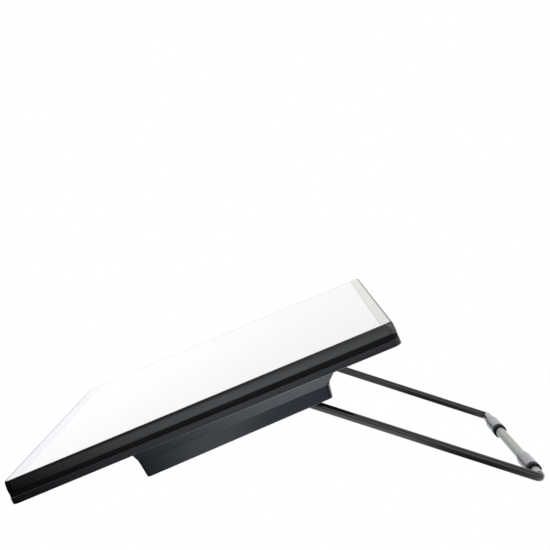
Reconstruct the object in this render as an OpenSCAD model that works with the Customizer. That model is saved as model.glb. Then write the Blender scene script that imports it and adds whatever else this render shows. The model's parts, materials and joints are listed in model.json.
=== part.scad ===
// Tabletop music stand. A flat desk in a two-shell frame rests on its low edge and
// on a wire bail, which folds into a shallow housing under the desk.
// The desk is drawn flat, with its lower face at height 0 and its low edge at y = 0,
// and then tipped to its slope. The bail is drawn along +Y from its pivot.

/* [Desk] */
// Width of the desk, from side to side
desk_w = 480; // [400:1:600]
// Length of the desk, from its low edge to its high edge
desk_l = 353.2; // [290:0.1:430]
// Slope of the desk above the table, in degrees
desk_slope = 23.1; // [19:0.1:26]
// Radius of the desk's corners, seen from above
corner_r = 6.5; // [5:0.5:12]
// Height of the back shell's side
back_h = 6.4; // [5.5:0.1:9]
// Height of the groove between the two shells
groove_h = 4.3; // [3:0.1:6]
// Height of the front shell's side
front_h = 10.3; // [9:0.1:14]
// Depth of the groove along the desk's two sides
groove_depth = 1.8; // [1:0.1:3]
// Depth of the groove at the low and high ends, where its band is nearly flush
groove_end_depth = 0.3; // [0.1:0.1:1]
// How far the back shell stands out past the front shell, at the two sides
back_lip = 0.6; // [0:0.1:1.2]
// The same at the low and high ends
back_end_lip = 0; // [0:0.1:1]
// Width of the shells' solid rims
rim_w = 6.5; // [5.5:0.1:9]
// Thickness of the back shell's floor
floor_t = 2.4; // [2:0.1:3.5]
// Thickness of the front shell's web, under the desk sheet
web_t = 2; // [1.6:0.1:3]

/* [Desk surface] */
// Thickness of the desk sheet and of the strips round it
sheet_t = 2; // [1.5:0.1:3]
// Width of the strip along the high edge
high_strip_w = 8.5; // [6:0.5:20]
// Width of the strip along the low edge
low_strip_w = 15; // [8:0.5:25]
// Width of the strips along the two sides
side_strip_w = 5; // [3:0.5:12]

/* [Hinge housing] */
// Depth of the housing below the desk
cover_h = 30; // [28:0.5:36]
// Wall of the housing
cover_wall = 2.4; // [2:0.1:3]
// From the middle of an arm to the housing's side wall, at the crease
cover_side = 28.8; // [26:0.1:36]
// From the pivot to the housing's low wall
cover_low = 145; // [120:1:165]
// From the pivot to the housing's high wall
cover_high = 37; // [34:0.5:45]
// Slope of the housing's bottom against the desk, in degrees: its low end is deeper
cover_rake = 0.85; // [0:0.05:1.2]
// Height of the housing's flared skirt
skirt_h = 17.5; // [14:0.5:19]
// How far the skirt flares out at the sides and at the high end
skirt_flare = 15.5; // [10:0.5:16]

/* [Bail] */
// Diameter of the wire
wire_d = 8.2; // [7:0.1:8.6]
// Width of the bail, between the middles of its two arms
bail_w = 305.4; // [240:0.1:370]
// Length of the bail, from its pivot to the middle of its foot bar
bail_l = 237; // [200:1:285]
// Distance of the pivot from the desk's high edge
pivot_setback = 107.2; // [90:0.1:125]
// Depth of the pivot below the desk
pivot_drop = 19.5; // [18.5:0.1:20]
// Middle radius of the bends at the foot bar
foot_bend_r = 5.5; // [5:0.5:12]
// Middle radius of the bends at the pivot legs
leg_bend_r = 8; // [7:0.5:9]
// Outer diameter of the tube on the foot bar
foot_tube_d = 9.8; // [9.6:0.1:11]
// Outer diameter of the two foot sleeves
sleeve_d = 13.8; // [12:0.1:16]
// Length of a foot sleeve, with its taper
sleeve_l = 62; // [45:1:70]
// Length of a sleeve's taper
sleeve_taper = 11; // [6:0.5:16]
// Length of the end ring on each sleeve
ring_l = 9.5; // [2:0.5:12]
// Place of the right sleeve's tapered end, from the middle of the stand
right_sleeve_x = 63; // [40:1:70]
// Place of the left sleeve's tapered end, from the middle of the stand
left_sleeve_x = -123; // [-134:1:-118]

/* [Hinge] */
// Thickness of the bracket's sheet steel
bracket_t = 2.5; // [2:0.1:3]
// Gap between a bracket's two ears
ear_gap = 23.5; // [20:0.5:30]
// Radius of a bracket's rounded ear
ear_r = 7.8; // [7.2:0.1:7.9]
// Outer radius of a hinge bush
bush_r = 5.4; // [5:0.1:5.8]
// Half length of a bracket along the slope
bracket_half = 18; // [17:0.5:22]

/* [Fits and fasteners] */
// Radial clearance of the pivot legs in their bushes
running_fit = 0.05; // [0.02:0.01:0.09]
// Radial clearance of pieces that are pressed or screwed together
close_fit = 0.02; // [0.01:0.01:0.05]
// Smallest gap between the bail and the desk's pieces
free_gap = 0.3; // [0.3:0.05:0.5]
// Gap between neighbouring desk surface pieces
joint_gap = 0.1; // [0.05:0.05:0.3]
// Side clearance of a folded arm in its channel
channel_gap = 0.7; // [0.5:0.1:1.2]
// Radius of the thread of the housing and shell screws
small_screw_r = 1.5; // [1.3:0.1:1.7]
// Radius of the thread of the bracket screws
bracket_screw_r = 2; // [1.8:0.1:2.3]

/* [Hidden] */
$fn = 96;
SIDES = [-1, 1];

// Heights of the layers of the desk
groove_z = back_h;
front_z = back_h + groove_h;
top_z = front_z + front_h;
sheet_z = top_z - sheet_t;
web_z = sheet_z - web_t;
rim_top = 2;
pocket_w = desk_w - 2 * rim_top;
pocket_l = desk_l - 2 * rim_top;
back_round = 1.6;

// Pivot and arms
wire_r = wire_d / 2;
arm_x = bail_w / 2;
pivot_y = desk_l - pivot_setback;
leg_x = arm_x - leg_bend_r;
washer_t = 1.2;
thrust_x = leg_x - 2.7;
ear_out_x = thrust_x - washer_t - free_gap;
ear_in_x = ear_out_x - 2 * bracket_t - ear_gap;
bush_flange = 1;
bush_flange_r = bush_r + 1.4;
spring_x = ear_in_x - free_gap - washer_t;
nut_h = 5.5;
nut_x = spring_x - nut_h;
leg_end_x = nut_x - 1.6;
washer_r = wire_r + 2.8;
nut_r = 7.2;

// Slope of the bail, which brings its foot sleeves down to the table
pad_r = back_round + 0.5;
pad_y = back_round - back_end_lip;
pad_z = back_round;
pad_l = 70;
pad_x = desk_w / 2 - 70;
ring_r = sleeve_d / 2;
lift = pad_r - (pad_y * sin(desk_slope) + pad_z * cos(desk_slope));
pivot_height = pivot_y * sin(desk_slope) - pivot_drop * cos(desk_slope) + lift;
bail_slope = asin((pivot_height - ring_r) / bail_l);
bail_angle = bail_slope + desk_slope;
pivot_reach = pivot_y * cos(desk_slope) + pivot_drop * sin(desk_slope);
foot_reach = pivot_reach + bail_l * cos(bail_slope);

// Sides of the two shells, as [inset, height] from the bottom up
function quarter(r, n) = [for (i = [0:n]) [r - r * sin(90 * i / n), r - r * cos(90 * i / n)]];
back_flank = concat(quarter(back_round, 5), [[0, back_h - 0.5], [0.5, back_h]]);
front_flank = [
  [0.3, front_z], [0, front_z + 0.4], [0, front_z + 1.2], [0.1, front_z + 3.8],
  [0.3, top_z - 3], [0.6, top_z - 1.1], [0.85, top_z - 0.4], [1.2, top_z]
];

// The stand's origin is at the middle of its footprint
low_reach = min([for (p = front_flank) p[0] * cos(desk_slope) - p[1] * sin(desk_slope)]);
middle_y = (low_reach + foot_reach + ring_r) / 2;

// Screw places, as [x, y] on the desk
edge_inset = 19;
shell_screw_xy = concat(
  [for (x = [-1, 0, 1], y = [0, 1]) [
    x * (desk_w / 2 - edge_inset),
    y == 0 ? edge_inset : desk_l - edge_inset
  ]],
  [for (x = SIDES) [x * (desk_w / 2 - edge_inset), desk_l / 2]]
);
housing_boss_r = 4.6;
housing_screw_low = pivot_y - cover_low + cover_wall + housing_boss_r + 3;
housing_screw_high = pivot_y + cover_high - cover_wall - housing_boss_r - 4;
housing_screw_xy = [
  for (x = [arm_x + 15, arm_x / 2 - 15], side = SIDES, y = [housing_screw_low, housing_screw_high])
    [side * x, y]
];
bracket_mid_x = (ear_in_x + ear_out_x) / 2;
bracket_screw_xy = [
  for (side = SIDES, dx = [-6, 6], dy = [-13, 13]) [side * (bracket_mid_x + dx), pivot_y + dy]
];
head_r = 3;
head_h = 2;
shell_boss_r = 5.5;
boss_top = web_z - 3;

// Channels that the arms fold into
channel_half = wire_r + channel_gap;
channel_roof = pivot_drop - wire_r - 0.9;
channel_wall = 2;
bay_low = pivot_y - 14;
slot_run = (cover_h - pivot_drop) / tan(bail_angle) + (wire_r + free_gap) / sin(bail_angle);
slot_high = pivot_y + slot_run + 0.8;

// Depth of the housing's bottom below the desk, at one place along the slope
function housing_depth(y) = cover_h - (y - pivot_y) * tan(cover_rake);

module desk_place() {
  translate([0, -middle_y, lift]) rotate([desk_slope, 0, 0]) children();
}

module bail_place() {
  translate([0, pivot_reach - middle_y, pivot_height]) rotate([-bail_slope, 0, 0]) children();
}

// A rounded rectangle, centred
module round_plan(w, l, r) {
  square([w - 2 * r, l], center = true);
  square([w, l - 2 * r], center = true);
  for (x = SIDES, y = SIDES) translate([x * (w / 2 - r), y * (l / 2 - r)]) circle(r);
}

// The same, in the desk's place and drawn up from one height to another
module desk_block(w, l, r, z0, z1) {
  translate([0, desk_l / 2, z0]) linear_extrude(z1 - z0) round_plan(w, l, r);
}

// A slab whose four sides follow one flank, with round corners
module slab(w, l, r, flank) {
  n = len(flank);
  function outline(half) = concat(
    [for (p = flank) [half - p[0], p[1]]],
    [for (i = [n - 1:-1:0]) [flank[i][0] - half, flank[i][1]]]
  );
  translate([0, desk_l / 2, 0]) {
    rotate([90, 0, 90]) translate([0, 0, r - w / 2]) linear_extrude(w - 2 * r) polygon(outline(l / 2));
    rotate([90, 0, 0]) translate([0, 0, r - l / 2]) linear_extrude(l - 2 * r) polygon(outline(w / 2));
    for (i = [0:3]) {
      x = (i == 0 || i == 3) ? 1 : -1;
      y = i < 2 ? 1 : -1;
      translate([x * (w / 2 - r), y * (l / 2 - r), 0]) rotate([0, 0, 90 * i]) rotate_extrude(angle = 90)
        polygon(concat([[0, flank[0][1]]], [for (p = flank) [r - p[0], p[1]]], [[0, flank[n - 1][1]]]));
    }
  }
}

// A solid of revolution along X, between two places on one side of the stand
module x_rod(side, x0, x1, r) {
  translate([side * x0, 0, 0]) rotate([0, side * 90, 0]) cylinder(h = x1 - x0, r = r);
}

module x_ring(side, x0, x1, r_out, r_in) {
  difference() {
    x_rod(side, x0, x1, r_out);
    x_rod(side, x0 - 1, x1 + 1, r_in);
  }
}

// A pan-head screw, with its head down and the underside of the head at height 0
module screw(r, length, head_radius, head_height) {
  cylinder(h = length, r = r);
  difference() {
    translate([0, 0, -head_height]) {
      cylinder(h = head_height * 0.4, r1 = head_radius * 0.82, r2 = head_radius);
      translate([0, 0, head_height * 0.4]) cylinder(h = head_height * 0.6, r = head_radius);
    }
    translate([0, 0, -head_height - 0.01]) cylinder(h = head_height * 0.55, r = head_radius * 0.48, $fn = 6);
  }
}

/* Desk surface */
module desk_sheet() {
  sheet_l = pocket_l - low_strip_w - high_strip_w - 2 * joint_gap;
  color("white") desk_place()
    translate([-(pocket_w / 2 - side_strip_w - joint_gap), rim_top + low_strip_w + joint_gap, sheet_z])
      cube([pocket_w - 2 * (side_strip_w + joint_gap), sheet_l, sheet_t]);
}

module end_strip(y, w) {
  intersection() {
    desk_block(pocket_w - 2 * joint_gap, pocket_l - 2 * joint_gap, corner_r - rim_top, sheet_z, top_z);
    translate([-desk_w / 2, y, 0]) cube([desk_w, w, 2 * top_z]);
  }
}

module high_strip() {
  color("gainsboro") desk_place() end_strip(desk_l - rim_top - high_strip_w, high_strip_w);
}

module low_strip() {
  color("whitesmoke") desk_place() end_strip(rim_top, low_strip_w);
}

module side_strip(side) {
  x = side > 0 ? pocket_w / 2 - side_strip_w - joint_gap : joint_gap - pocket_w / 2;
  color("lavender") desk_place() translate([x, rim_top + low_strip_w + joint_gap, sheet_z])
    cube([side_strip_w, pocket_l - low_strip_w - high_strip_w - 2 * joint_gap, sheet_t]);
}

module left_strip() {
  side_strip(-1);
}

module right_strip() {
  side_strip(1);
}

/* Desk frame */
module front_shell() {
  color("dimgray") desk_place() difference() {
    union() {
      difference() {
        slab(desk_w, desk_l, corner_r, front_flank);
        desk_block(desk_w - 2 * rim_w, desk_l - 2 * rim_w, 3, 0, web_z);
      }
      for (p = shell_screw_xy) translate([p[0], p[1], boss_top - 5]) cylinder(h = web_z - boss_top + 5.5, r = 4);
    }
    desk_block(pocket_w, pocket_l, corner_r - rim_top, sheet_z, top_z + 1);
    for (p = shell_screw_xy) translate([p[0], p[1], boss_top - 6]) cylinder(h = 7.5, r = small_screw_r + close_fit);
  }
}

module groove_gasket() {
  gasket_w = 4;
  gasket_across = desk_w - 2 * groove_depth;
  color("#181c1c") desk_place() difference() {
    desk_block(gasket_across, desk_l - 2 * groove_end_depth, corner_r - groove_depth, groove_z, front_z);
    desk_block(gasket_across - 2 * gasket_w, desk_l - 2 * groove_depth - 2 * gasket_w,
      1, groove_z - 1, front_z + 1);
  }
}

// A light lattice board that fills the shells and carries the desk sheet
module core_panel() {
  core_w = desk_w - 2 * rim_w - 1;
  core_l = desk_l - 2 * rim_w - 1;
  rib = 5;
  cols = 8;
  rows = 6;
  cell_w = (core_w - rib) / cols - rib;
  cell_l = (core_l - rib) / rows - rib;
  core_z = floor_t + joint_gap;
  color("burlywood") desk_place() difference() {
    desk_block(core_w, core_l, 3, core_z, web_z - joint_gap);
    for (i = [0:cols - 1], j = [0:rows - 1])
      translate([-core_w / 2 + rib + i * (cell_w + rib), desk_l / 2 - core_l / 2 + rib + j * (cell_l + rib), 0])
        cube([cell_w, cell_l, 2 * top_z]);
    for (p = shell_screw_xy) translate([p[0], p[1], 0]) cylinder(h = top_z, r = shell_boss_r + 0.6);
    for (p = housing_screw_xy) translate([p[0], p[1], 0]) cylinder(h = 10.5, r = 4.6);
    for (side = SIDES)
      translate([side * bracket_mid_x - 21, pivot_y - bracket_half - 1, 0])
        cube([42, 2 * bracket_half + 2, floor_t + 6.5]);
  }
}

module back_shell() {
  color("#2b3036") desk_place() difference() {
    union() {
      difference() {
        slab(desk_w + 2 * back_lip, desk_l + 2 * back_end_lip, corner_r + back_lip, back_flank);
        desk_block(desk_w - 2 * rim_w, desk_l - 2 * rim_w, 3, floor_t, back_h + 1);
      }
      for (p = shell_screw_xy) translate([p[0], p[1], 1]) cylinder(h = boss_top - 6.5, r = shell_boss_r);
      for (p = housing_screw_xy) translate([p[0], p[1], 1]) cylinder(h = 9, r = 4);
    }
    for (p = shell_screw_xy) translate([p[0], p[1], -1]) {
      cylinder(h = head_h + 1.3, r = head_r + 0.4);
      cylinder(h = top_z, r = small_screw_r + 0.2);
    }
    for (p = housing_screw_xy) translate([p[0], p[1], -1]) cylinder(h = 9.5, r = small_screw_r + close_fit);
    for (p = bracket_screw_xy) translate([p[0], p[1], -1]) cylinder(h = floor_t + 2, r = bracket_screw_r + 0.2);
    for (side = SIDES) edge_pad(side, pad_r + close_fit, 0.05);
  }
}

module shell_screws() {
  color("#202020") desk_place() for (p = shell_screw_xy)
    translate([p[0], p[1], head_h + 0.3]) screw(small_screw_r, boss_top - head_h - 0.5, head_r, head_h);
}

module edge_pad(side, r, extra) {
  translate([side * pad_x - pad_l / 2 - extra, pad_y, pad_z]) rotate([0, 90, 0])
    cylinder(h = pad_l + 2 * extra, r = r);
}

module edge_pads() {
  color("#151515") desk_place() for (side = SIDES) edge_pad(side, pad_r, 0);
}

/* Hinge */
module bracket_outline(side, z0, thickness) {
  x0 = ear_in_x - 4;
  translate([side > 0 ? x0 : -ear_out_x, pivot_y - bracket_half, z0])
    cube([ear_out_x - x0, 2 * bracket_half, thickness]);
}

module backing_plate(side) {
  color("lightsteelblue") desk_place() difference() {
    bracket_outline(side, floor_t, 2.5);
    for (p = bracket_screw_xy) translate([p[0], p[1], 0]) cylinder(h = 8, r = bracket_screw_r + close_fit);
  }
}

module left_backing_plate() {
  backing_plate(-1);
}

module right_backing_plate() {
  backing_plate(1);
}

module hinge_bracket(side) {
  color("silver") desk_place() difference() {
    union() {
      bracket_outline(side, -bracket_t, bracket_t);
      for (x = [ear_in_x, ear_out_x - bracket_t]) {
        translate([side > 0 ? x : -x - bracket_t, pivot_y - ear_r, -pivot_drop])
          cube([bracket_t, 2 * ear_r, pivot_drop - bracket_t / 2]);
        translate([0, pivot_y, -pivot_drop]) x_rod(side, x, x + bracket_t, ear_r);
      }
    }
    translate([0, pivot_y, -pivot_drop]) x_rod(side, ear_in_x - 1, ear_out_x + 1, bush_r + close_fit);
    for (p = bracket_screw_xy) translate([p[0], p[1], -8]) cylinder(h = 9, r = bracket_screw_r + 0.2);
  }
}

module left_hinge_bracket() {
  hinge_bracket(-1);
}

module right_hinge_bracket() {
  hinge_bracket(1);
}

module bracket_screws() {
  color("gray") desk_place() for (p = bracket_screw_xy)
    translate([p[0], p[1], -bracket_t]) screw(bracket_screw_r, bracket_t + floor_t + 3.6, 3.4, 2.2);
}

module hinge_bushes(side) {
  color("ivory") desk_place() translate([0, pivot_y, -pivot_drop]) {
    out_x = ear_out_x - bracket_t;
    in_x = ear_in_x + bracket_t;
    difference() {
      union() {
        x_rod(side, out_x, ear_out_x, bush_r);
        x_rod(side, out_x - bush_flange, out_x, bush_flange_r);
      }
      x_rod(side, out_x - 2, ear_out_x + 1, wire_r + running_fit);
    }
    difference() {
      union() {
        x_rod(side, ear_in_x, in_x, bush_r);
        x_rod(side, in_x, in_x + bush_flange, bush_flange_r);
      }
      x_rod(side, ear_in_x - 1, in_x + 2, wire_r + running_fit);
    }
  }
}

module left_hinge_bushes() {
  hinge_bushes(-1);
}

module right_hinge_bushes() {
  hinge_bushes(1);
}

/* Hinge housing */
// One thin level of the housing's skin: its depth, how far it leans out at the sides
// and the high end, and how far it leans out at the low end
module housing_level(depth, out, out_low, inset) {
  half = arm_x + cover_side + out - inset;
  y0 = pivot_y - cover_low - out_low + inset;
  y1 = pivot_y + cover_high + out - inset;
  translate([0, (y0 + y1) / 2, -depth]) linear_extrude(0.01) round_plan(2 * half, y1 - y0, 4 - inset / 2);
}

// The housing's bottom, turned by its rake about the pivot
module raked() {
  translate([0, pivot_y, -cover_h]) rotate([cover_rake, 0, 0]) translate([0, -pivot_y, cover_h]) children();
}

module housing_skin(inset) {
  crease = skirt_h;
  bend = skirt_h - 3;
  bottom = cover_h - inset;
  hull($fn = 32) {
    raked() {
      housing_level(bottom, -2.2, -2.1, inset);
      housing_level(bottom - 0.5, -1.7, -1.6, inset);
    }
    housing_level(crease, 0, 0, inset);
  }
  hull($fn = 32) {
    housing_level(crease, 0, 0, inset);
    housing_level(bend, 1.4, 0.5, inset);
  }
  hull($fn = 32) {
    housing_level(bend, 1.4, 0.5, inset);
    housing_level(inset > 0 ? -0.2 : 0.01, skirt_flare, 3.4, inset);
  }
}

module hinge_housing() {
  color("#30353c") desk_place() difference() {
    union() {
      difference() {
        housing_skin(0);
        housing_skin(cover_wall);
      }
      for (side = SIDES)
        translate([side * arm_x - channel_half - channel_wall, pivot_y - cover_low + 1, -cover_h + 0.2])
          cube([2 * (channel_half + channel_wall), cover_low - 15, cover_h - channel_roof + channel_wall]);
      for (p = housing_screw_xy) translate([p[0], p[1], 1 - housing_depth(p[1])])
        cylinder(h = housing_depth(p[1]) - 1, r = housing_boss_r);
    }
    for (side = SIDES) {
      translate([side * arm_x - channel_half, 0, -2 * cover_h])
        cube([2 * channel_half, bay_low + 1, 2 * cover_h - channel_roof]);
      translate([side * arm_x - channel_half - (side > 0 ? leg_bend_r - 3 : 0), bay_low, -2 * cover_h])
        cube([2 * channel_half + leg_bend_r - 3, slot_high - bay_low, 2 * cover_h - channel_roof]);
    }
    for (p = housing_screw_xy) translate([p[0], p[1], -cover_h - 4]) {
      cylinder(h = cover_h + 5, r = small_screw_r + 0.2);
      cylinder(h = head_h + 4.6, r = head_r + 0.5);
    }
  }
}

module housing_screws() {
  color("#202020") desk_place() for (p = housing_screw_xy)
    translate([p[0], p[1], -cover_h + head_h + 0.6])
      screw(small_screw_r, cover_h - head_h + 7, head_r, head_h);
}

// Rubber blocks that the arms lean on when the bail is open
module stop_pads() {
  pad_half = channel_half + 3.5;
  pad_low = pivot_y + slot_run - (cover_h - pivot_drop) / 2;
  pad_high = pivot_y + cover_high - cover_wall - 3.5;
  pad_base = cover_wall - housing_depth(pad_high);
  color("#151515") desk_place() for (side = SIDES) difference() {
    translate([side * arm_x - pad_half, pad_low, pad_base])
      cube([2 * pad_half, pad_high - pad_low, wire_r - pivot_drop - pad_base]);
    translate([side * arm_x, pivot_y, -pivot_drop]) rotate([-bail_angle, 0, 0])
      translate([-2 * pad_half, -wire_d, -4 * wire_d])
        cube([4 * pad_half, 8 * wire_d, 4 * wire_d + wire_r + free_gap]);
  }
}

// Thin felt pads in the roofs of the channels
module channel_pads() {
  pad_half = wire_r - 0.6;
  color("#303030") desk_place() for (side = SIDES)
    translate([side * arm_x - pad_half, pivot_y - cover_low + 14, -channel_roof - 0.5])
      cube([2 * pad_half, 22, 0.5]);
}

/* Bail */
module foot_corner(side) {
  translate([side * (arm_x - foot_bend_r), bail_l - foot_bend_r, 0]) rotate([0, 0, side > 0 ? 0 : 90])
    rotate_extrude(angle = 90) translate([foot_bend_r, 0]) circle(wire_r, $fn = 48);
}

module leg_corner(side) {
  translate([side * leg_x, leg_bend_r, 0]) rotate([0, 0, side > 0 ? -90 : 180])
    rotate_extrude(angle = 90) translate([leg_bend_r, 0]) circle(wire_r, $fn = 48);
}

module bail_wire() {
  chamfer = 0.8;
  color("#1c1c1e") bail_place() {
    translate([0, bail_l, 0]) {
      x_rod(1, 0, arm_x - foot_bend_r, wire_r);
      x_rod(-1, 0, arm_x - foot_bend_r, wire_r);
    }
    for (side = SIDES) {
      foot_corner(side);
      leg_corner(side);
      translate([side * arm_x, leg_bend_r, 0]) rotate([-90, 0, 0])
        cylinder(h = bail_l - leg_bend_r - foot_bend_r, r = wire_r);
      x_rod(side, leg_end_x + chamfer, leg_x, wire_r);
      translate([side * (leg_end_x + chamfer), 0, 0]) rotate([0, -side * 90, 0])
        cylinder(h = chamfer, r1 = wire_r, r2 = wire_r - chamfer);
    }
  }
}

module thrust_washers() {
  color("ivory") bail_place() for (side = SIDES)
    x_ring(side, thrust_x - washer_t, thrust_x, washer_r, wire_r + close_fit);
}

module spring_washers() {
  color("silver") bail_place() for (side = SIDES)
    x_ring(side, spring_x, spring_x + washer_t, washer_r, wire_r + close_fit);
}

module lock_nuts() {
  color("silver") bail_place() for (side = SIDES) difference() {
    translate([side * nut_x, 0, 0]) rotate([0, side * 90, 0]) cylinder(h = nut_h, r = nut_r, $fn = 6);
    x_rod(side, nut_x - 1, nut_x + nut_h + 1, wire_r + close_fit);
  }
}

module foot_tube() {
  tube_half = arm_x - foot_bend_r - 1;
  color("darkgray") bail_place() translate([0, bail_l, 0]) difference() {
    x_rod(1, -tube_half, tube_half, foot_tube_d / 2);
    x_rod(1, -tube_half - 1, tube_half + 1, wire_r + close_fit);
  }
}

// A sleeve slit along its length, so that it snaps over the tube
module foot_sleeve(x) {
  slit = 1.4;
  bore = foot_tube_d / 2 + close_fit;
  neck = bore + 0.7;
  r = sleeve_d / 2 - 0.05;
  color("lightgray") bail_place() translate([x, bail_l, 0]) rotate([0, 90, 0]) difference() {
    union() {
      cylinder(h = sleeve_taper, r1 = neck, r2 = r);
      translate([0, 0, sleeve_taper]) cylinder(h = sleeve_l - ring_l - sleeve_taper, r = r);
    }
    translate([0, 0, -1]) cylinder(h = sleeve_l + 2, r = bore);
    rotate([0, 0, -90]) translate([0, -slit / 2, -1]) cube([sleeve_d, slit, sleeve_l + 2]);
  }
}

module right_foot_sleeve() {
  foot_sleeve(right_sleeve_x);
}

module left_foot_sleeve() {
  foot_sleeve(left_sleeve_x);
}

module sleeve_ring(x) {
  x1 = x + sleeve_l;
  color("#121212") bail_place() translate([0, bail_l, 0]) difference() {
    union() {
      translate([x1 - ring_l, 0, 0]) rotate([0, 90, 0]) cylinder(h = ring_l - 0.6, r = ring_r);
      translate([x1 - 0.6, 0, 0]) rotate([0, 90, 0]) cylinder(h = 0.6, r1 = ring_r, r2 = ring_r - 0.5);
    }
    translate([x1 - ring_l - 1, 0, 0]) rotate([0, 90, 0])
      cylinder(h = ring_l + 2, r = foot_tube_d / 2 + close_fit);
  }
}

module right_sleeve_ring() {
  sleeve_ring(right_sleeve_x);
}

module left_sleeve_ring() {
  sleeve_ring(left_sleeve_x);
}

desk_sheet();
high_strip();
low_strip();
left_strip();
right_strip();
front_shell();
groove_gasket();
core_panel();
back_shell();
shell_screws();
edge_pads();
left_backing_plate();
right_backing_plate();
left_hinge_bracket();
right_hinge_bracket();
bracket_screws();
left_hinge_bushes();
right_hinge_bushes();
hinge_housing();
housing_screws();
stop_pads();
channel_pads();
bail_wire();
thrust_washers();
spring_washers();
lock_nuts();
foot_tube();
left_foot_sleeve();
right_foot_sleeve();
left_sleeve_ring();
right_sleeve_ring();
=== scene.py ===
"""Looks of the tabletop music stand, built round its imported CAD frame. Lengths are in metres."""

import json
import math

import bmesh
import bpy
from mathutils import Matrix, Vector


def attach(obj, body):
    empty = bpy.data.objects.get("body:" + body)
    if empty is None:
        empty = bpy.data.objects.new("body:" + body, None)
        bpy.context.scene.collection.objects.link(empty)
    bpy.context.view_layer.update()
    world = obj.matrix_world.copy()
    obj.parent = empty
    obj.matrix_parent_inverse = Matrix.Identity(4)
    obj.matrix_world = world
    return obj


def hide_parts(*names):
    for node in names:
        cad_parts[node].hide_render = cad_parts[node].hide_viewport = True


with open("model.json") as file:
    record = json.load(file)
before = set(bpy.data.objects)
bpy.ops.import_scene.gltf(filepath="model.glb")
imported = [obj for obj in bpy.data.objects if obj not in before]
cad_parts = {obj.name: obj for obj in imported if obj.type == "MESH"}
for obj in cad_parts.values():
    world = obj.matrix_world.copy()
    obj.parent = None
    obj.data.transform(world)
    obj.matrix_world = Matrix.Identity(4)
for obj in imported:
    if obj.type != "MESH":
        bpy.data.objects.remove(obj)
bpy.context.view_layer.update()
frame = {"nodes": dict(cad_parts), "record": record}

MM = 0.001

# Camera: to the right of the stand, looking back along -X with the low edge on the left.
# The lens is in millimetres, the angles are in degrees, and the reach is how far it sees.
CAMERA_PLACE = (1.2752, -0.0045, 0.2694)
CAMERA_LENS = 82.385
CAMERA_TURN = 0.346
CAMERA_TILT = -4.095
CAMERA_ROLL = 0.338
CAMERA_REACH = 50
QUARTER_TURN = 90

# Sockets that share their name with others on Blender's Mix node, by their place in it
MIX_SHARE = 0
MIX_NUMBER_A, MIX_NUMBER_B, MIX_NUMBER = 2, 3, 0
MIX_COLOUR_A, MIX_COLOUR_B, MIX_COLOUR = 6, 7, 2


def linear(hex_colour):
    """The linear RGBA of an sRGB hex colour such as "F3F3F3", by the sRGB curve."""
    channels = [int(hex_colour[i : i + 2], 16) / 255 for i in (0, 2, 4)]
    return tuple(c / 12.92 if c <= 0.04045 else ((c + 0.055) / 1.055) ** 2.4 for c in channels) + (1.0,)


def node(tree, kind, inputs=(), **settings):
    """Adds one shader node. Its inputs are a list in socket order, or a dict by socket name or
    place, and each of them is a socket to link from or a plain value to set."""
    made = tree.nodes.new(kind)
    for name, value in settings.items():
        setattr(made, name, value)
    for socket, value in inputs.items() if isinstance(inputs, dict) else enumerate(inputs):
        if isinstance(value, bpy.types.NodeSocket):
            tree.links.new(value, made.inputs[socket])
        else:
            made.inputs[socket].default_value = value
    return made


def per_mm(size):
    """The scale of a pattern whose features are this many millimetres across."""
    return 1 / (size * MM)


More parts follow.
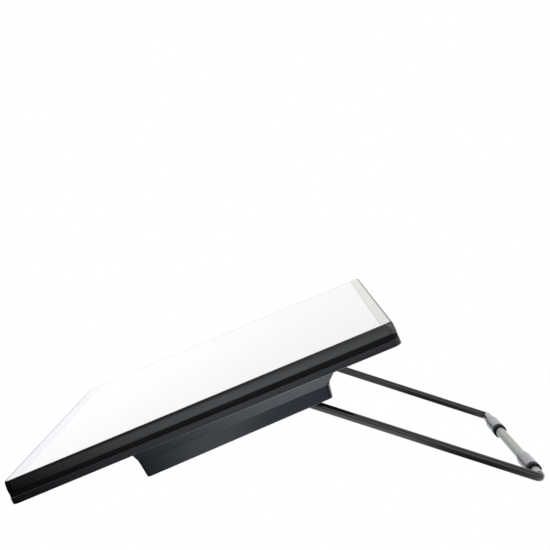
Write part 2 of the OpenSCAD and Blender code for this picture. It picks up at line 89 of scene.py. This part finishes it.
# Each look: two hex colours, the size in mm of the blotches that the colour drifts over, the size
# and depth in mm of a finer grain, the range of roughness over that grain, how far the pattern is
# stretched, and values for the shader's own sockets. Moulding grain, brush marks and fibres are
# really under 0.1 mm across. They are drawn coarser, so that they can show.
LOOKS = {
    # Melamine laminate, pressed against a satin plate: near white, with a soft, even gloss
    "white_laminate": dict(
        light="EFEFEF", dark="ECECEC", blotch=60, grain=1.2, depth=0.02, rough=(0.30, 0.42), IOR=1.5,
    ),
    # ABS edging, extruded: light warm grey, with a softer gloss than the sheet
    "grey_edge_strip": dict(
        light="D9DAD5", dark="D6D7D2", blotch=30, grain=0.8, depth=0.02, rough=(0.35, 0.5), IOR=1.53,
    ),
    # ABS edging, extruded: pale cool grey, nearly as light as the sheet
    "pale_edge_strip": dict(
        light="E6E6EA", dark="E2E2E6", blotch=30, grain=0.8, depth=0.02, rough=(0.3, 0.45), IOR=1.53,
    ),
    # ABS, moulded in satin steel: deep black. An IOR above bare ABS gives it stronger reflections
    "black_front_abs": dict(
        light="0E0E0F", dark="0B0B0C", blotch=18, grain=0.5, depth=0.006, rough=(0.18, 0.26), IOR=1.66,
    ),
    # ABS, moulded in satin steel: dark grey. An IOR below bare ABS gives it weaker reflections
    "black_back_abs": dict(
        light="232428", dark="1F2023", blotch=18, grain=0.6, depth=0.006, rough=(0.18, 0.24), IOR=1.43,
    ),
    # ABS, moulded in smoother steel: blue-black, with the clearest reflections of the three
    "slate_housing_abs": dict(
        light="161A24", dark="13171F", blotch=24, grain=0.6, depth=0.006, rough=(0.13, 0.18), IOR=1.5,
    ),
    # Rubber, moulded: dull black with hardly any shine
    "black_rubber": dict(
        light="080809", dark="050505", blotch=5, grain=0.3, depth=0.02, rough=(0.5, 0.65), IOR=1.3,
    ),
    # Fibreboard, milled: light brown, matt and fibrous
    "fibreboard_core": dict(
        light="B08A60", dark="8A6844", blotch=6, grain=0.7, depth=0.1, rough=(0.8, 0.95),
    ),
    # Sheet steel, stamped and zinc plated: light grey metal with a soft, cloudy sheen
    "zinc_steel": dict(
        light="C8CACC", dark="AEB1B4", blotch=8, grain=0.4, depth=0.01, rough=(0.25, 0.4), Metallic=1.0,
    ),
    # Steel, blackened by an oxide bath: near black, and the oxide hides the metal's own shine
    "black_screw_steel": dict(
        light="1C1C1E", dark="101012", blotch=3, grain=0.3, depth=0.01, rough=(0.3, 0.45),
    ),
    # Nylon, moulded and undyed: cream, with a waxy sheen
    "natural_nylon": dict(
        light="E6DFC8", dark="DCD3B8", blotch=6, grain=0.5, depth=0.01, rough=(0.35, 0.5), IOR=1.53,
    ),
    # Wool felt, pressed: dark grey with lighter flecks, and no shine
    "grey_felt": dict(
        light="4A4A4A", dark="2E2E2E", blotch=1.5, grain=0.2, depth=0.2, rough=(0.9, 1.0),
    ),
    # Steel wire, bent and dipped in gloss lacquer: black, and draws reflections into long streaks
    "black_lacquered_wire": dict(
        light="101010", dark="0A0A0B", blotch=20, grain=1.5, depth=0.004, rough=(0.10, 0.16), IOR=1.52,
    ),
    # Aluminium, brushed along the bar and anodised: light grey metal, with marks drawn out in X
    "satin_aluminium": dict(
        light="B4B6B0", dark="ABADA7", blotch=10, grain=0.5, depth=0.0005, rough=(0.3, 0.36),
        stretch=(0.04, 1, 1), Metallic=1.0,
    ),
    # PVC, extruded: light cool grey with a satin gloss
    "light_grey_sleeve": dict(
        light="B2B2B8", dark="AAAAB0", blotch=12, grain=0.6, depth=0.0005, rough=(0.3, 0.4), IOR=1.5,
    ),
}
DRIFT_DETAIL = 4.0
GRAIN_DETAIL = 6.0
GRAIN_LOW, GRAIN_HIGH = 0.3, 0.7  # most of a noise pattern lies between these
GRAIN_STRENGTH = 0.6


def finish_material(name, light, dark, blotch, grain, depth, rough, stretch=(1, 1, 1), **shader):
    """The material of one look. Its colour drifts between two hex colours over blotches, and its
    roughness and height vary over a finer grain."""
    material = bpy.data.materials.new(name)
    material.use_nodes = True
    tree = material.node_tree
    tree.nodes.clear()
    place = node(tree, "ShaderNodeTexCoord").outputs["Object"]
    place = node(tree, "ShaderNodeMapping", {"Vector": place, "Scale": stretch}).outputs["Vector"]
    drift = node(tree, "ShaderNodeTexNoise", {
        "Vector": place, "Scale": per_mm(blotch), "Detail": DRIFT_DETAIL,
    })
    fine = node(tree, "ShaderNodeTexNoise", {
        "Vector": place, "Scale": per_mm(grain), "Detail": GRAIN_DETAIL,
    })
    colour = node(tree, "ShaderNodeMix", {
        MIX_SHARE: drift.outputs["Fac"], MIX_COLOUR_A: linear(dark), MIX_COLOUR_B: linear(light),
    }, data_type="RGBA")
    spread = node(tree, "ShaderNodeMapRange", {
        "Value": fine.outputs["Fac"], "From Min": GRAIN_LOW, "From Max": GRAIN_HIGH,
        "To Min": rough[0], "To Max": rough[1],
    })
    height = node(tree, "ShaderNodeBump", {
        "Height": fine.outputs["Fac"], "Distance": depth * MM, "Strength": GRAIN_STRENGTH,
    })
    skin = node(tree, "ShaderNodeBsdfPrincipled", {
        "Base Color": colour.outputs[MIX_COLOUR], "Roughness": spread.outputs["Result"],
        "Normal": height.outputs["Normal"], **shader,
    })
    node(tree, "ShaderNodeOutputMaterial", {"Surface": skin.outputs["BSDF"]})
    return material


FINISHES = {name: finish_material(name, **look) for name, look in LOOKS.items()}

slot_of = {part["node"]: part["material_slot"] for part in frame["record"]["subparts"]}
body_of = {name: body for body, names in frame["record"]["behaviour"]["bodies"].items() for name in names}
for name, thing in frame["nodes"].items():
    thing.data.materials.clear()
    thing.data.materials.append(FINISHES[slot_of[name]])


def add_piece(name, mesh, *nodes):
    """A new piece that stands for some CAD nodes: it takes their finish and rides on their body."""
    piece = bpy.data.objects.new(name, mesh)
    bpy.context.scene.collection.objects.link(piece)
    mesh.materials.append(FINISHES[slot_of[nodes[0]]])
    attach(piece, body_of[nodes[0]])
    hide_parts(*nodes)
    return piece


# How wide each moulded or cut piece's edges are rounded over, in mm
EDGE_WIDTHS = {
    "desk_sheet": 0.25, "high_strip": 0.3, "low_strip": 0.3, "left_strip": 0.25, "right_strip": 0.25,
    "front_shell": 0.3, "back_shell": 0.35, "hinge_housing": 0.5, "edge_pads": 0.4, "stop_pads": 0.6,
    "left_foot_sleeve": 0.4, "right_foot_sleeve": 0.4, "left_sleeve_ring": 0.5, "right_sleeve_ring": 0.5,
}
WELD = 0.002 * MM  # corners closer than this become one
FLAT_WITHIN = math.radians(0.6)  # faces that meet at less than this become one
ROUNDED_ABOVE = math.radians(28)  # edges that turn by more than this are rounded over
SHARP_ABOVE = math.radians(32)  # edges that still turn by more than this stay crisp
ROUND_STEPS = 2
ROUND_ARC = 0.5  # Blender's value for a round edge
LARGE_FACES_LEAD = 100  # large faces keep their own direction, and the small ones bend to them


def softened(cad_node, width):
    """A piece with a CAD node's shape, whose sharp edges are rounded over by a width in mm."""
    mesh = bmesh.new()
    mesh.from_mesh(frame["nodes"][cad_node].data)
    bmesh.ops.remove_doubles(mesh, verts=mesh.verts, dist=WELD)
    bmesh.ops.dissolve_limit(mesh, angle_limit=FLAT_WITHIN, verts=mesh.verts, edges=mesh.edges)
    sharp = [e for e in mesh.edges if len(e.link_faces) == 2 and e.calc_face_angle() > ROUNDED_ABOVE]
    bmesh.ops.bevel(
        mesh, geom=sharp, offset=width * MM, offset_type="OFFSET", segments=ROUND_STEPS,
        profile=ROUND_ARC, affect="EDGES", clamp_overlap=True, harden_normals=False,
    )
    for face in mesh.faces:
        face.smooth = True
    soft = bpy.data.meshes.new("soft_" + cad_node)
    mesh.to_mesh(soft)
    mesh.free()
    soft.set_sharp_from_angle(angle=SHARP_ABOVE)
    piece = add_piece("soft_" + cad_node, soft, cad_node)
    level = piece.modifiers.new("level_faces", "WEIGHTED_NORMAL")
    level.keep_sharp = True
    level.weight = LARGE_FACES_LEAD


for cad_node, width in EDGE_WIDTHS.items():
    softened(cad_node, width)


def add_camera():
    """The camera. Without a turn it looks straight down. One quarter turn levels it, and another
    points it along -X."""
    camera = bpy.data.objects.new("camera", bpy.data.cameras.new("camera"))
    bpy.context.scene.collection.objects.link(camera)
    camera.data.lens = CAMERA_LENS
    camera.data.clip_end = CAMERA_REACH
    turn = Matrix.Rotation(math.radians(QUARTER_TURN + CAMERA_TURN), 4, "Z")
    tilt = Matrix.Rotation(math.radians(QUARTER_TURN + CAMERA_TILT), 4, "X")
    roll = Matrix.Rotation(math.radians(CAMERA_ROLL), 4, "Z")
    camera.matrix_world = Matrix.Translation(CAMERA_PLACE) @ turn @ tilt @ roll
    bpy.context.scene.camera = camera


# The last four values of a fade: the two places it runs between, and its strength at each
FADE_SOCKETS = ("From Min", "From Max", "To Min", "To Max")

# The table's glow, which only the stand meets. Each fade starts with the line that it runs along,
# and its places are in metres.
TABLE_FADES = {
    # The main glow, from almost none at the low edge to its full strength towards the back
    "glow": ("outward", -0.13, 0.2, 0.02, 1.5),
    # Under the desk, and on to the left, that glow is stronger, and most so towards the back
    "beneath": ("y", -0.12, 0.1, 1.3, 6.8),
    # It dips there in a band across the table, and inward of the desk's right side
    "shadow": ("off_shadow", 0.02, 0.055, 0.3, 1.0),
    "inner": ("x", 0.2, 0.24, 0.6, 1.0),
    # Those three end just outside the desk's right side
    "near": ("x", 0.24, 0.3, 1.0, 0.0),
    # As far as a slanted line on the right of the stand, the whole glow fades towards the back
    "past_slant": ("slant", 0.79, 0.99, 0.0, 1.0),
    "dim": ("y", -0.12, 0.16, 0.95, 0.12),
    # Left of the stand's middle the table is never darker than this
    "behind": ("x", -0.3, -0.05, 1.0, 0.0),
    # Nor is it from the foot bar back, as far out as the desk's right side
    "foot": ("y", 0.2, 0.235, 0.0, 1.6),
}
OUTWARD_SLOPE = 0.35  # the line "outward" is Y and this much of X
SLANT_SLOPE = -2.8  # the line "slant" is X and this much of Y
SHADOW_AT = 0.165  # Y of the middle of the band where the glow dips
TABLE_CAST = "F0F8FF"  # slightly cool
TABLE_HALF = 30
EYE_WHITE = 1.0  # the strength that shows as plain white


def table_material():
    """Plain white to the camera. What the stand mirrors of the table is dim in front and lighter
    towards the back, with a cool cast, so that its black sides shade from end to end."""
    material = bpy.data.materials.new("white_table")
    material.use_nodes = True
    tree = material.node_tree
    tree.nodes.clear()
    place = node(tree, "ShaderNodeTexCoord").outputs["Object"]
    place = node(tree, "ShaderNodeSeparateXYZ", {"Vector": place})
    x, y = place.outputs["X"], place.outputs["Y"]
    outward = node(tree, "ShaderNodeMath", [x, OUTWARD_SLOPE, y], operation="MULTIPLY_ADD")
    slant = node(tree, "ShaderNodeMath", [y, SLANT_SLOPE, x], operation="MULTIPLY_ADD")
    off_shadow = node(tree, "ShaderNodeMath", [y, SHADOW_AT], operation="SUBTRACT")
    off_shadow = node(tree, "ShaderNodeMath", [off_shadow.outputs["Value"]], operation="ABSOLUTE")
    lines = {
        "x": x, "y": y, "outward": outward.outputs["Value"], "slant": slant.outputs["Value"],
        "off_shadow": off_shadow.outputs["Value"],
    }
    fades = {}
    for name, (line, *ends) in TABLE_FADES.items():
        sockets = {"Value": lines[line], **dict(zip(FADE_SOCKETS, ends))}
        fades[name] = node(tree, "ShaderNodeMapRange", sockets).outputs["Result"]
    beneath = fades["beneath"]
    for share in (fades["shadow"], fades["inner"]):
        beneath = node(tree, "ShaderNodeMath", [beneath, share], operation="MULTIPLY").outputs["Value"]
    nearer = node(tree, "ShaderNodeMix", {
        MIX_SHARE: fades["near"], MIX_NUMBER_A: 1.0, MIX_NUMBER_B: beneath,
    }).outputs[MIX_NUMBER]
    farther = node(tree, "ShaderNodeMix", {
        MIX_SHARE: fades["past_slant"], MIX_NUMBER_A: fades["dim"], MIX_NUMBER_B: 1.0,
    }).outputs[MIX_NUMBER]
    foot = node(tree, "ShaderNodeMath", [fades["foot"], fades["near"]], operation="MULTIPLY")
    lit = fades["glow"]
    for share in (nearer, farther):
        lit = node(tree, "ShaderNodeMath", [lit, share], operation="MULTIPLY").outputs["Value"]
    for least in (fades["behind"], foot.outputs["Value"]):
        lit = node(tree, "ShaderNodeMath", [lit, least], operation="MAXIMUM").outputs["Value"]
    mirrored = node(tree, "ShaderNodeEmission", {"Color": linear(TABLE_CAST), "Strength": lit})
    seen = node(tree, "ShaderNodeEmission", {"Color": linear("FFFFFF"), "Strength": EYE_WHITE})
    to_eye = node(tree, "ShaderNodeLightPath").outputs["Is Camera Ray"]
    skin = node(tree, "ShaderNodeMixShader", [
        to_eye, mirrored.outputs["Emission"], seen.outputs["Emission"],
    ])
    node(tree, "ShaderNodeOutputMaterial", {"Surface": skin.outputs["Shader"]})
    # The glow isn't sampled as a lamp, because that speckles the foot tube and its sleeves
    material.cycles.emission_sampling = "NONE"
    return material


def add_floor():
    """A wide table top that the stand rests on."""
    mesh = bpy.data.meshes.new("floor")
    corners = [(x * TABLE_HALF, y * TABLE_HALF, 0) for x, y in ((-1, -1), (1, -1), (1, 1), (-1, 1))]
    mesh.from_pydata(corners, [], [(0, 1, 2, 3)])
    floor = bpy.data.objects.new("floor", mesh)
    bpy.context.scene.collection.objects.link(floor)
    mesh.materials.append(table_material())


# The studio's glow, which only the stand meets. Each fade starts with the line that it runs along
# and how it eases, and its places are parts of a direction, from -1 to 1.
STUDIO_FADES = {
    # The left half of the studio is pale, and so is a little of the right half
    "behind": ("X", "SMOOTHSTEP", -0.1, 0.35, 0.85, 0.0),
    # In the right half, the glow comes from the back, with little from the front
    "across": ("Y", "LINEAR", -0.26, 0.0, 0.1, 1.35),
    # It is strongest in a level strip, and begins where the left half ends
    "strip": ("off_strip", "LINEAR", 0.03, 0.12, 2.2, 0.55),
    "before": ("X", "LINEAR", -0.1, 0.2, 0.0, 1.0),
}
STRIP_HEIGHT = 0.42

# Soft boxes: size in metres, power in watts
LAMPS = {
    "overhead": dict(place=(-0.3, -0.9, 1.0), target=(0, -0.1, 0.1), size=(1.2, 0.6), power=10.5),
    "over_the_bail": dict(place=(0.1, 0.9, 1.6), target=(0.1, 0.1, 0.05), size=(0.5, 1.4), power=1),
}


def add_lamp(name, place, target, size, power):
    """A soft box at a place, turned to a target."""
    lamp = bpy.data.objects.new(name, bpy.data.lights.new(name, "AREA"))
    lamp.data.shape = "RECTANGLE"
    lamp.data.size, lamp.data.size_y = size
    lamp.data.energy = power
    lamp.location = place
    lamp.rotation_euler = (Vector(target) - Vector(place)).to_track_quat("-Z", "Y").to_euler()
    bpy.context.scene.collection.objects.link(lamp)


def add_light():
    """White all round to the camera. What lights the stand is pale on the left, and on the right
    it is dark in front and lighter behind, so that its blacks stay deep. Soft boxes add to it from
    above."""
    world = bpy.data.worlds.new("studio")
    bpy.context.scene.world = world
    world.use_nodes = True
    tree = world.node_tree
    sky = tree.nodes["Background"]
    sky.inputs["Color"].default_value = linear("FFFFFF")
    way = node(tree, "ShaderNodeTexCoord").outputs["Generated"]
    way = node(tree, "ShaderNodeSeparateXYZ", {"Vector": way})
    off_strip = node(tree, "ShaderNodeMath", [way.outputs["Z"], STRIP_HEIGHT], operation="SUBTRACT")
    off_strip = node(tree, "ShaderNodeMath", [off_strip.outputs["Value"]], operation="ABSOLUTE")
    lines = {"X": way.outputs["X"], "Y": way.outputs["Y"], "off_strip": off_strip.outputs["Value"]}
    fades = {}
    for name, (line, easing, *ends) in STUDIO_FADES.items():
        sockets = {"Value": lines[line], **dict(zip(FADE_SOCKETS, ends))}
        fade = node(tree, "ShaderNodeMapRange", sockets, interpolation_type=easing)
        fades[name] = fade.outputs["Result"]
    lit = fades["across"]
    for share in (fades["strip"], fades["before"]):
        lit = node(tree, "ShaderNodeMath", [lit, share], operation="MULTIPLY").outputs["Value"]
    to_eye = node(tree, "ShaderNodeLightPath").outputs["Is Camera Ray"]
    for least in (fades["behind"], to_eye):
        lit = node(tree, "ShaderNodeMath", [least, lit], operation="MAXIMUM").outputs["Value"]
    tree.links.new(lit, sky.inputs["Strength"])
    for name, settings in LAMPS.items():
        add_lamp(name, **settings)


bpy.context.scene.view_settings.view_transform = "Standard"
add_camera()
add_floor()
add_light()
